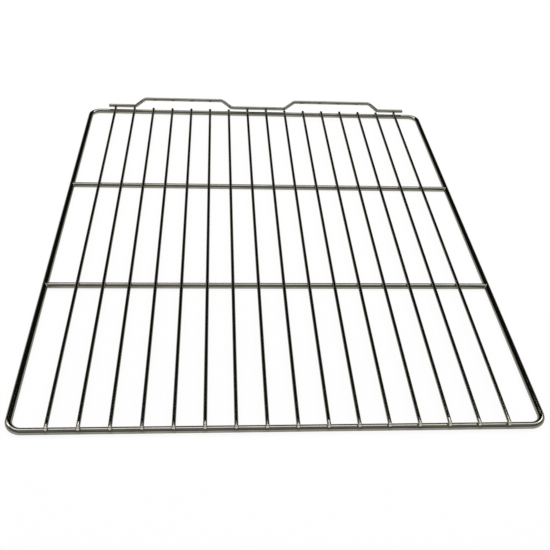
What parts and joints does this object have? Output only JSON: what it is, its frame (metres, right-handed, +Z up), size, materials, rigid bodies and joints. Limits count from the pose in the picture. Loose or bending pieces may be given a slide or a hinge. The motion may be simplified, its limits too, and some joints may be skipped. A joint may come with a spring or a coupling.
{
  "type": "wire shelf",
  "caption": "Flat welded wire shelf: rounded rectangular frame, cross bars, straight deck wires and a raised rear stop wire with flat-topped humps; carries pans or food in a cabinet.",
  "frame": {"origin": "middle of the shelf, on the surface that its frame rests on", "axes": "+X to the right across the shelf, +Y from the front rail to the rear stop, +Z up from the frame to the deck wires"},
  "size_m": [0.53, 0.65, 0.0281],
  "materials": {
    "plated_wire": "bright plated steel wire under a thin clear coat, fine drawn lines, small weld marks"
  },
  "bodies": {
    "root": {"frame_wire": "plated_wire", "cross_bar_front": "plated_wire", "cross_bar_rear": "plated_wire", "deck_wire_01": "plated_wire", "deck_wire_02": "plated_wire", "deck_wire_03": "plated_wire", "deck_wire_04": "plated_wire", "deck_wire_05": "plated_wire", "deck_wire_06": "plated_wire", "deck_wire_07": "plated_wire", "deck_wire_08": "plated_wire", "deck_wire_09": "plated_wire", "deck_wire_10": "plated_wire", "deck_wire_11": "plated_wire", "deck_wire_12": "plated_wire", "deck_wire_13": "plated_wire", "deck_wire_14": "plated_wire", "deck_wire_15": "plated_wire", "deck_wire_16": "plated_wire", "rear_stop_wire": "plated_wire"}
  },
  "joints": []
}
